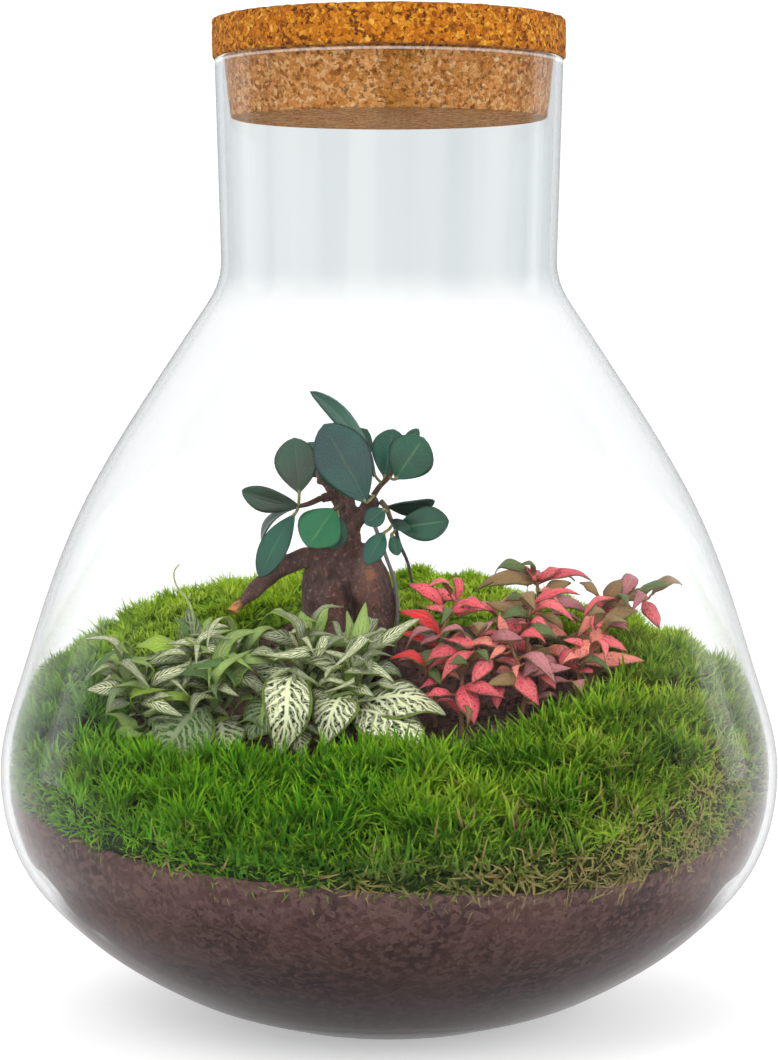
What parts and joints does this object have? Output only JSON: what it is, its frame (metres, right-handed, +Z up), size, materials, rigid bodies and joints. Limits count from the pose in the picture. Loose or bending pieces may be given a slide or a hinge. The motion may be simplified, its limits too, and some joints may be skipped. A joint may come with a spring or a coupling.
{
  "type": "planted glass terrarium",
  "caption": "Flask-shaped glass jar with a stepped cork stopper, planted with a small ficus, white-veined and pink leafy plants in moss on dark soil.",
  "frame": {"origin": "centre of the jar's round base, on the surface it stands on", "axes": "+Z up along the jar's axis; -Y is the front, the side that the picture shows; +X is to the right seen from the front"},
  "size_m": [0.3398, 0.3398, 0.435],
  "materials": {
    "glass": "polished",
    "cork": "matte",
    "moss": "matte",
    "trunk_bark": "matte",
    "ficus_leaf": "satin",
    "white_leaf": "matte",
    "pink_leaf": "matte",
    "soil": "matte",
    "bark": "matte"
  },
  "bodies": {
    "root": {"glass_jar": "glass", "cork_lid": "cork", "moss_front": "moss", "moss_front_right": "moss", "moss_right": "moss", "moss_right_rear": "moss", "moss_rear_right": "moss", "moss_rear_left": "moss", "moss_left_rear": "moss", "moss_left": "moss", "moss_front_left": "moss", "ficus_trunk": "trunk_bark", "ficus_shoot_left": "ficus_leaf", "ficus_shoot_front": "ficus_leaf", "ficus_shoot_top": "ficus_leaf", "ficus_shoot_right": "ficus_leaf", "ficus_shoot_back": "ficus_leaf", "white_fittonia_stem_1": "white_leaf", "white_fittonia_stem_2": "white_leaf", "white_fittonia_stem_3": "white_leaf", "white_fittonia_stem_4": "white_leaf", "white_fittonia_stem_5": "white_leaf", "pink_fittonia_stem_1": "pink_leaf", "pink_fittonia_stem_2": "pink_leaf", "pink_fittonia_stem_3": "pink_leaf", "pink_fittonia_stem_4": "pink_leaf", "pink_fittonia_stem_5": "pink_leaf", "pink_fittonia_stem_6": "pink_leaf", "pink_fittonia_stem_7": "pink_leaf", "soil": "soil", "bark_chip": "bark"}
  },
  "joints": []
}
